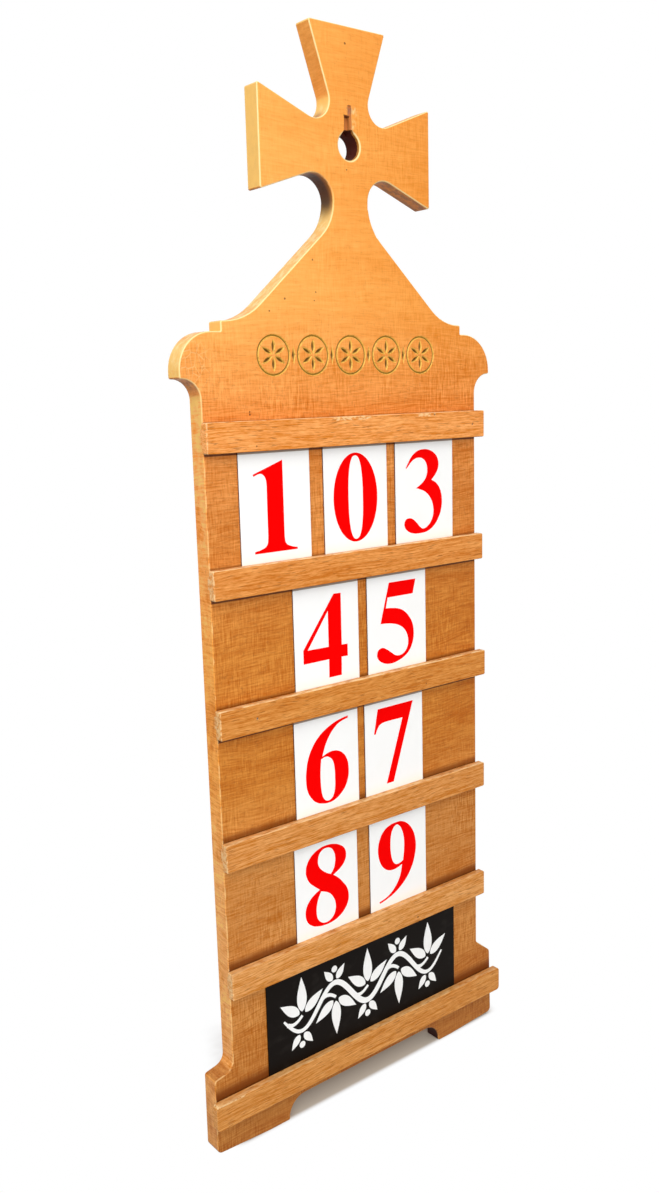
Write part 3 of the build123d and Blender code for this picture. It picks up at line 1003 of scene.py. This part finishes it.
# ---- numerals ----
# Outlines in millimetres from the middle of the card's foot. The first outline of a numeral is
# its edge, and any others are its holes.
NUMERALS = {
    "one": [[
        (7.8, 86.6, SHARP), (7.8, 24.6, SHARP), (9, 19), (13, 16.3), (20.6, 14.3, SHARP),
        (20.6, 12.8, SHARP), (-22, 12.8, SHARP), (-22, 14.6, SHARP), (-13.8, 16.4), (-9.8, 19.2),
        (-8.6, 24.6, SHARP), (-8.4, 66.6, SHARP), (-9.2, 72.4), (-12, 76), (-15.6, 76.6),
        (-20.8, 74.8, SHARP), (-21.5, 76.4, SHARP),
    ]],
    "three": [[
        (-22.5, 71.1, SHARP), (-19.5, 75.6), (-15.3, 81), (-9.3, 85.1), (-1.3, 86.7), (6.7, 85.6),
        (13.2, 81.9), (17, 76.4), (17.2, 70), (14.2, 64.2), (8.6, 58.8, SHARP), (14.2, 55.9),
        (19.2, 49.9), (21.5, 41), (20.7, 32), (17.2, 24), (11.2, 17), (3.2, 12.8), (-6.3, 11.7),
        (-15.3, 12.5), (-21.3, 15.2), (-24.8, 19.8), (-23.8, 24.6), (-20.3, 26.3), (-15.3, 25.5),
        (-10, 21.6), (-6, 17.6), (-2.1, 15.6), (2.7, 16.9), (7.7, 21.4), (10.5, 28), (10.3, 35.5),
        (7.2, 42.5), (1.2, 48.3), (-5.8, 51.3), (-10.5, 52.5, SHARP), (-5.8, 54.8), (-0.8, 58.3),
        (2.5, 63), (3.5, 68.5), (2.2, 74.2), (-1.3, 78), (-6.3, 79.5), (-10.8, 78.9), (-15.3, 76.6),
        (-18.7, 73.4), (-21.7, 70.6, SHARP),
    ]],
    "four": [
        [
            (8, 83.4, SHARP), (15.9, 83.2, SHARP), (15.8, 37.6, SHARP), (22.3, 37.4, SHARP),
            (22.3, 26.7, SHARP), (15.4, 26.9, SHARP), (15.1, 10.8, SHARP), (1.2, 10.8, SHARP),
            (1.5, 27, SHARP), (-25.9, 27, SHARP), (-25.9, 39, SHARP),
        ],
        [(1.4, 69.6, SHARP), (1.3, 38, SHARP), (-21.2, 38.5, SHARP)],
    ],
    "five": [[
        (-9.3, 84.7, SHARP), (22.8, 84.4, SHARP), (19.3, 71.3, SHARP), (-10.9, 71.5, SHARP),
        (-13.3, 62, SHARP), (-5.9, 61.3), (1.1, 60), (8.1, 56.9), (14.1, 51.4), (18.6, 43.9),
        (20.1, 35.4), (18.8, 26.9), (14.6, 19.4), (7.6, 14.3), (-0.9, 11.4), (-7.9, 10.6),
        (-14.9, 11.6), (-20.9, 14.6), (-24, 18.3), (-24.4, 21.9), (-22.4, 25.4), (-17.9, 26.6),
        (-12.9, 24.4), (-7.4, 20.7), (-2.9, 17.6), (2.1, 16.6), (7.1, 17.8), (11.1, 21.4), (13.1, 27.4),
        (12.1, 33.9), (8.6, 39.9), (2.6, 44.2), (-4.4, 46.7), (-11.9, 48), (-19.8, 48.6, SHARP),
    ]],
    "six": [
        [
            (24.2, 85.8, SHARP), (16, 84.7), (7, 82.2), (-2, 78.1), (-10, 72.4), (-16, 65.4),
            (-20.5, 56.9), (-23, 47.4), (-23.8, 37.4), (-22.5, 27.4), (-18.5, 19.9), (-12.5, 14.4),
            (-6, 12), (0.5, 11.2), (7.5, 12.4), (14.5, 16.4), (20, 22.4), (23, 29.9), (23.7, 37.4),
            (22.5, 44.9), (19, 51.4), (13.5, 55.7), (7, 57.4), (0.5, 56.8), (-5.6, 54.6, SHARP),
            (-4, 58.9), (-1.5, 64.9), (2.5, 71.4), (8, 77.4), (14.5, 81.6), (23.8, 83.9, SHARP),
        ],
        [
            (-6.8, 52.6, SHARP), (-2, 53.9), (2.5, 52.4), (6, 48.4), (7.7, 41.4), (8.1, 32.4),
            (7.7, 23.4), (6, 17.2), (3, 14), (-0.3, 13.3), (-3.5, 14.7), (-6, 18.4), (-7.5, 25.4),
            (-8, 33.4), (-7.8, 43.4),
        ],
    ],
    "seven": [[
        (-19.5, 84, SHARP), (23.3, 84.2, SHARP), (-1.5, 11.5, SHARP), (-10, 11.5, SHARP),
        (10.3, 70.4, SHARP), (-10.3, 70.5), (-15.8, 69.6), (-19.3, 66.9), (-22.4, 61.2, SHARP),
        (-24.3, 61.2, SHARP),
    ]],
    "eight": [
        [
            (-0.1, 86.5), (8.9, 85.2), (15.9, 82), (20.6, 77.5), (22.1, 71.7), (20.4, 65.7),
            (15.9, 60.9), (10.9, 58.2), (7.1, 56.4, SHARP), (12.9, 51.7), (18.1, 45.7), (22.4, 39.2),
            (24.1, 31.7), (22.7, 24.7), (18.4, 18.7), (11.9, 14.4), (4.4, 12.2), (-3.1, 11.8),
            (-11.1, 12.9), (-18.1, 15.7), (-23.1, 20.7), (-25.1, 27.7), (-23.9, 34.7), (-19.6, 40.7),
            (-14.1, 44.5), (-8.6, 47, SHARP), (-13.6, 51.2), (-18.6, 55.7), (-22.4, 62.2),
            (-23.4, 68.7), (-21.4, 75.7), (-16.6, 81.2), (-9.1, 85.1),
        ],
        [
            (-0.6, 84), (4.4, 82.7), (7.9, 78.7), (9.6, 72.7), (8.9, 65.7), (6.9, 61), (4.1, 58, SHARP),
            (-0.6, 60.7), (-5.6, 64.7), (-8.9, 69.2), (-9.8, 74.2), (-8.6, 79.2), (-5.1, 83),
        ],
        [
            (-7.2, 45, SHARP), (-2.6, 43.2), (2.4, 40.2), (6.4, 35.2), (8.6, 29.2), (8.5, 22.7),
            (5.9, 17.5), (1.4, 14.5), (-3.6, 14), (-8.1, 16), (-11.6, 20.2), (-12.9, 26.2),
            (-12.4, 32.7), (-10.4, 39.2),
        ],
    ],
    "nine": [
        [
            (-2.1, 85), (5.9, 83.7), (12.9, 79), (18.4, 71.7), (21.4, 63.2), (22.2, 54.2), (20.5, 44.7),
            (16.9, 35.7), (10.9, 27.2), (3.4, 20.7), (-5.1, 15.7), (-14.1, 12.5), (-23.9, 10.3, SHARP),
            (-24.3, 12.1, SHARP), (-18.1, 13.3), (-12.1, 15.6), (-6.1, 19.9), (-1.1, 25.7), (2.4, 32.7),
            (4.4, 41.6, SHARP), (-0.1, 40), (-6.6, 39.2), (-13.1, 40.6), (-18.6, 44.5), (-22.6, 50.7),
            (-24.8, 58.7), (-24.8, 66.2), (-22.6, 73.7), (-18.1, 80), (-11.6, 83.7),
        ],
        [
            (-2.1, 82.4), (1.9, 80.2), (4.9, 75.2), (6.9, 68.2), (7.4, 60.2), (6.7, 51.2),
            (5.7, 45, SHARP), (1.4, 43.4), (-3.1, 43.7), (-6.1, 46.2), (-8.3, 51.2), (-9.5, 58.2),
            (-9.7, 65.7), (-8.9, 73.2), (-6.6, 79.2),
        ],
    ],
}
# The nought is one oval inside another: middle, half width, half height, squareness.
NOUGHT_OVALS = (((-0.5, 50.1), 24.3, 38.0, 2.0), ((-0.5, 50.1), 8.0, 35.6, 2.5))


class HYMN_OT_numerals(bpy.types.Operator):
    """Print a red numeral on each number card"""

    bl_idname = "hymn.numerals"
    bl_label = "Numerals"

    def execute(self, context):
        settings = context.scene.hymn_cards
        steps = settings.outline_steps
        thickness = settings.ink_thickness
        ink = coating("red_ink", settings.ink_colour, 0.06, 0.34)
        shapes = {
            name: [smooth_outline(points, steps) for points in outlines]
            for name, outlines in NUMERALS.items()
        }
        shapes["zero"] = [oval_outline(*oval, steps) for oval in NOUGHT_OVALS]
        for card, name in NUMBER_CARDS.items():
            film("numeral_" + name, shapes[name], card_origin(card), thickness, ink, card + "_body")
        return {"FINISHED"}


# ---- vine painted on the title card ----
VINE_LENGTH = 192.0
VINE_HEIGHT = 49.5
VINE_SWING = 16.0
VINE_WAVES = 2.5
STEM_WIDTH = 5.4
STALK_WIDTH = 4.0
BERRY_RADIUS = 3.2
# A sprig's strokes: heading away from the middle one in degrees, length, width.
SPRIG = ((0.0, 33.0, 10.5), (54.0, 25.0, 9.5), (-54.0, 25.0, 9.5))
SPUR = ((38.0, 15.0, 7.0), (-38.0, 15.0, 7.0))
# From each bend of the stem: to the sprig's foot, to the point that the sprig's stalk is drawn
# towards, and to the berry on the other side. The stalk leaves the stem this share of the way
# along the bend.
SPRIG_FOOT = (1.0, 14.5)
STALK_AIM = (-8.0, 6.0)
BERRY_REACH = 13.5
STALK_START = 0.1
# How far a petal starts from its base, and half its width at the tips.
PETAL_GAP = 4.0
PETAL_TIP = 0.08
# The vine's parts lie at slightly different heights, as shares of the paint's thickness.
STALK_LAYER = 0.9
PETAL_LAYER = 0.8


def vine_point(t):
    """The stem's middle line, a sine wave along the card, for t from 0 to 1."""
    angle = 2 * math.pi * VINE_WAVES * np.asarray(t)
    return np.stack([(t - 0.5) * VINE_LENGTH, VINE_HEIGHT - VINE_SWING * np.sin(angle)], axis=-1)


def brush_stroke(middle, half_width):
    """The outline of a stroke: the middle line moved to both sides by the half width."""
    along = np.gradient(middle, axis=0)
    along = along / np.linalg.norm(along, axis=1, keepdims=True)
    aside = np.stack([-along[:, 1], along[:, 0]], axis=1) * half_width[:, None]
    return np.concatenate([middle + aside, (middle - aside)[::-1]])


def vine_stem(steps):
    """A stroke along the whole vine, thinner towards both ends: its width follows the root of a sine."""
    t = np.linspace(0.0, 1.0, 24 * steps)
    return brush_stroke(vine_point(t), STEM_WIDTH / 2 * (0.3 + 0.7 * np.sin(math.pi * t) ** 0.5))


def vine_stalk(start, control, end, steps):
    """A stroke along a quadratic curve from start to end, drawn towards control, getting thinner."""
    t = np.linspace(0.0, 1.0, 3 * steps)
    weights = np.stack([(1 - t) ** 2, 2 * t * (1 - t), t**2], axis=1)
    middle = weights @ np.array([start, control, end])
    return brush_stroke(middle, STALK_WIDTH / 2 * (1.0 - 0.3 * t))


def vine_petals(base, heading, strokes, steps):
    """Drops of paint fanned out from a base.

    Each is a straight stroke whose half width is a sine of the 0.7th power of the way along it,
    so it is full near its foot and runs out to a point.
    """
    t = np.linspace(0.0, 1.0, 3 * steps)
    petals = []
    for turn, length, width in strokes:
        angle = heading + math.radians(turn)
        reach = np.array([math.cos(angle), math.sin(angle)])
        middle = base + reach * (PETAL_GAP + length * t)[:, None]
        petals.append(brush_stroke(middle, PETAL_TIP + width / 2 * np.sin(math.pi * t**0.7)))
    return petals


def berry_outline(centre, steps):
    """A round berry."""
    return oval_outline(centre, BERRY_RADIUS, BERRY_RADIUS, 2.0, steps)


class HYMN_OT_title_vine(bpy.types.Operator):
    """Paint a white vine on the title card"""

    bl_idname = "hymn.title_vine"
    bl_label = "Title vine"

    def execute(self, context):
        settings = context.scene.hymn_cards
        steps = settings.outline_steps
        thickness = settings.paint_thickness
        paint = coating("white_paint", settings.paint_colour, 0.10, 0.45)
        stalks, petals, berries = [], [], []
        bends = int(2 * VINE_WAVES)
        for index in range(bends):
            # Sprigs stand above the stem and hang below it in turn.
            side = 1 if index % 2 == 0 else -1
            heading = math.radians(90.0) * side
            bend = vine_point((index + 0.5) / bends)
            base = bend + np.array([SPRIG_FOOT[0], side * SPRIG_FOOT[1]])
            aim = bend + np.array([STALK_AIM[0], side * STALK_AIM[1]])
            stalks.append(vine_stalk(vine_point((index + STALK_START) / bends), aim, base, steps))
            petals += vine_petals(base, heading, SPRIG, steps)
            petals += vine_petals(bend, -heading, SPUR, steps)
            berries.append(berry_outline(bend - np.array([0.0, side * BERRY_REACH]), steps))
        layers = (
            ("vine_stem", [vine_stem(steps)], 1.0),
            ("vine_stalks", stalks, STALK_LAYER),
            ("vine_petals", petals, PETAL_LAYER),
            ("vine_berries", berries, 1.0),
        )
        origin = card_origin("title_card")
        for name, outlines, layer in layers:
            film(name, outlines, origin, thickness * layer, paint, "title_card_body")
        return {"FINISHED"}


# ---- stage ----
FLOOR_HALF_SIDE = 6.0
WHITE = (1.0, 1.0, 1.0)
SHADOW_IN_FRONT = (0.68, 0.59, 0.49)
SHADOW_BEHIND = (0.31, 0.25, 0.20)
# The window stands high on the left and the fill low in front. Both are square lamps.
WINDOW_PLACE = (-1.35, -1.30, 0.95)
WINDOW_TARGET = (0.0, 0.0, -0.35)
WINDOW_SIZE = 2.2
WINDOW_COLOUR = (1.0, 1.0, 0.98)
FILL_PLACE = (-0.3, -1.7, -0.5)
FILL_TARGET = (0.0, 0.0, -0.6)
FILL_SIZE = 1.2
PICTURE_HEIGHT = 36.0
NEAREST_SEEN = 10 * MM


def pale_floor(settings):
    """Pale floor that keeps the shadow under the board, painted darker there, and goes to plain white away
    from it.
    """
    shader = Shader("pale_floor")
    mottle = shader.noise((9.0, 9.0, 9.0), 3.0)
    paper = shader.dim(settings.floor_colour, 1.0 + (mottle - 0.5) * 0.02)
    # The shadow is kept across the board's width, from its face backwards to a ragged edge that
    # comes nearer at the left end.
    wobble = (shader.noise((22.0, 14.0, 20.0), 3.0) - 0.5) * 30.0
    behind = shader.depth + wobble + shader.ramp(shader.across, -150.0, -60.0, 110.0, 0.0)
    kept = shader.ramp(shader.depth, -20.0, -13.0) * shader.ramp(behind, 70.0, 170.0, 1.0, 0.0)
    kept = kept * shader.between(shader.across + wobble * 0.3, -135.0, 160.0, 20.0)
    kept = kept * settings.shadow_depth
    # Under and behind the board the floor's colour is painted darker and warmer as shadow.
    tint = shader.mix(shader.ramp(shader.depth, -18.0, 20.0), SHADOW_IN_FRONT, SHADOW_BEHIND)
    surface = shader.node("BsdfPrincipled", None, {
        "Base Color": shader.mix(shader.seen(), settings.bounce_colour, shader.mix(kept, paper, tint)),
        "Roughness": 0.85,
        "Specular IOR Level": 0.1,
    })
    white = shader.node("Emission", None, {"Color": rgba(WHITE), "Strength": 1.0})
    bare = shader.seen() * (1.0 - kept)
    shader.close(shader.node("MixShader", None, {0: bare, 1: surface, 2: white}))
    return shader.material


def lay_floor(settings):
    """A square floor at the level of the board's feet."""
    side = FLOOR_HALF_SIDE
    corners = [(-side, -side), (side, -side), (side, side), (-side, side)]
    mesh = bpy.data.meshes.new("floor")
    mesh.from_pydata([(x, y, FOOT_LEVEL) for x, y in corners], [], [(0, 1, 2, 3)])
    mesh.materials.append(pale_floor(settings))
    floor = bpy.data.objects.new("floor", mesh)
    bpy.context.collection.objects.link(floor)


def white_world(settings):
    """Even light from all round, seen as plain white."""
    world = bpy.data.worlds.new("white_world")
    bpy.context.scene.world = world
    world.use_nodes = True
    shader = Shader.on(world.node_tree)
    strength = shader.ramp(shader.seen(), 0.0, 1.0, settings.sky_level, 1.0)
    white = shader.node("Background", None, {"Color": rgba(WHITE), "Strength": strength})
    shader.close(white, "OutputWorld")


def area_lamp(name, place, target, size, power, colour):
    """A square soft lamp at place, facing target."""
    lamp = bpy.data.lights.new(name, "AREA")
    lamp.size = size
    lamp.energy = power
    lamp.color = colour
    holder = bpy.data.objects.new(name, lamp)
    direction = np.array(target) - np.array(place)
    bearing = math.atan2(direction[X], direction[Y])
    pitch = math.atan2(direction[Z], math.hypot(direction[X], direction[Y]))
    holder.location = place
    holder.rotation_euler = Euler((math.pi / 2 + pitch, 0.0, -bearing), "XYZ")
    bpy.context.collection.objects.link(holder)


def stand_camera(settings):
    """A camera at its place, turned to its bearing, tilted by its pitch and then rolled."""
    camera = bpy.data.cameras.new("camera")
    camera.sensor_fit = "VERTICAL"
    camera.sensor_height = PICTURE_HEIGHT
    camera.lens = settings.lens
    camera.clip_start = NEAREST_SEEN
    holder = bpy.data.objects.new("camera", camera)
    aim = Euler((math.pi / 2 + settings.camera_pitch, 0.0, -settings.camera_bearing), "XYZ").to_matrix()
    roll = Matrix.Rotation(settings.camera_roll, 3, "Z")
    holder.matrix_world = Matrix.Translation(settings.camera_place) @ (aim @ roll).to_4x4()
    bpy.context.collection.objects.link(holder)
    bpy.context.scene.camera = holder


class HYMN_OT_stage(bpy.types.Operator):
    """Set up the floor, the lamps and the camera"""

    bl_idname = "hymn.stage"
    bl_label = "Stage"

    def execute(self, context):
        settings = context.scene.hymn_stage
        lay_floor(settings)
        white_world(settings)
        area_lamp("window", WINDOW_PLACE, WINDOW_TARGET, WINDOW_SIZE, settings.key_power, WINDOW_COLOUR)
        area_lamp("fill", FILL_PLACE, FILL_TARGET, FILL_SIZE, settings.fill_power, WHITE)
        stand_camera(settings)
        context.scene.view_settings.view_transform = "Standard"
        return {"FINISHED"}


class HYMN_PT_board(bpy.types.Panel):
    """Sidebar panel with the board's operators and settings"""

    bl_label = "Hymn board"
    bl_idname = "HYMN_PT_board"
    bl_space_type = "VIEW_3D"
    bl_region_type = "UI"
    bl_category = "Hymn board"

    def draw(self, context):
        for operator in OPERATORS:
            self.layout.operator(operator.bl_idname)
        for attribute in SETTINGS:
            group = getattr(context.scene, attribute)
            box = self.layout.box()
            for key in type(group).__annotations__:
                box.prop(group, key)


OPERATORS = (
    HYMN_OT_board_wood,
    HYMN_OT_rail_wood,
    HYMN_OT_pins,
    HYMN_OT_cards,
    HYMN_OT_numerals,
    HYMN_OT_title_vine,
    HYMN_OT_stage,
)
SETTINGS = {
    "hymn_board_wood": BoardWoodSettings,
    "hymn_rail_wood": RailWoodSettings,
    "hymn_cards": CardSettings,
    "hymn_stage": StageSettings,
}


def register():
    for group in SETTINGS.values():
        bpy.utils.register_class(group)
    for attribute, group in SETTINGS.items():
        setattr(bpy.types.Scene, attribute, PointerProperty(type=group))
    for operator in OPERATORS:
        bpy.utils.register_class(operator)
    bpy.utils.register_class(HYMN_PT_board)


def unregister():
    bpy.utils.unregister_class(HYMN_PT_board)
    for operator in reversed(OPERATORS):
        bpy.utils.unregister_class(operator)
    for attribute, group in SETTINGS.items():
        delattr(bpy.types.Scene, attribute)
        bpy.utils.unregister_class(group)


def main():
    register()
    bpy.ops.hymn.board_wood()
    bpy.ops.hymn.rail_wood()
    bpy.ops.hymn.pins()
    bpy.ops.hymn.cards()
    bpy.ops.hymn.numerals()
    bpy.ops.hymn.title_vine()
    bpy.ops.hymn.stage()


if __name__ == "__main__":
    main()
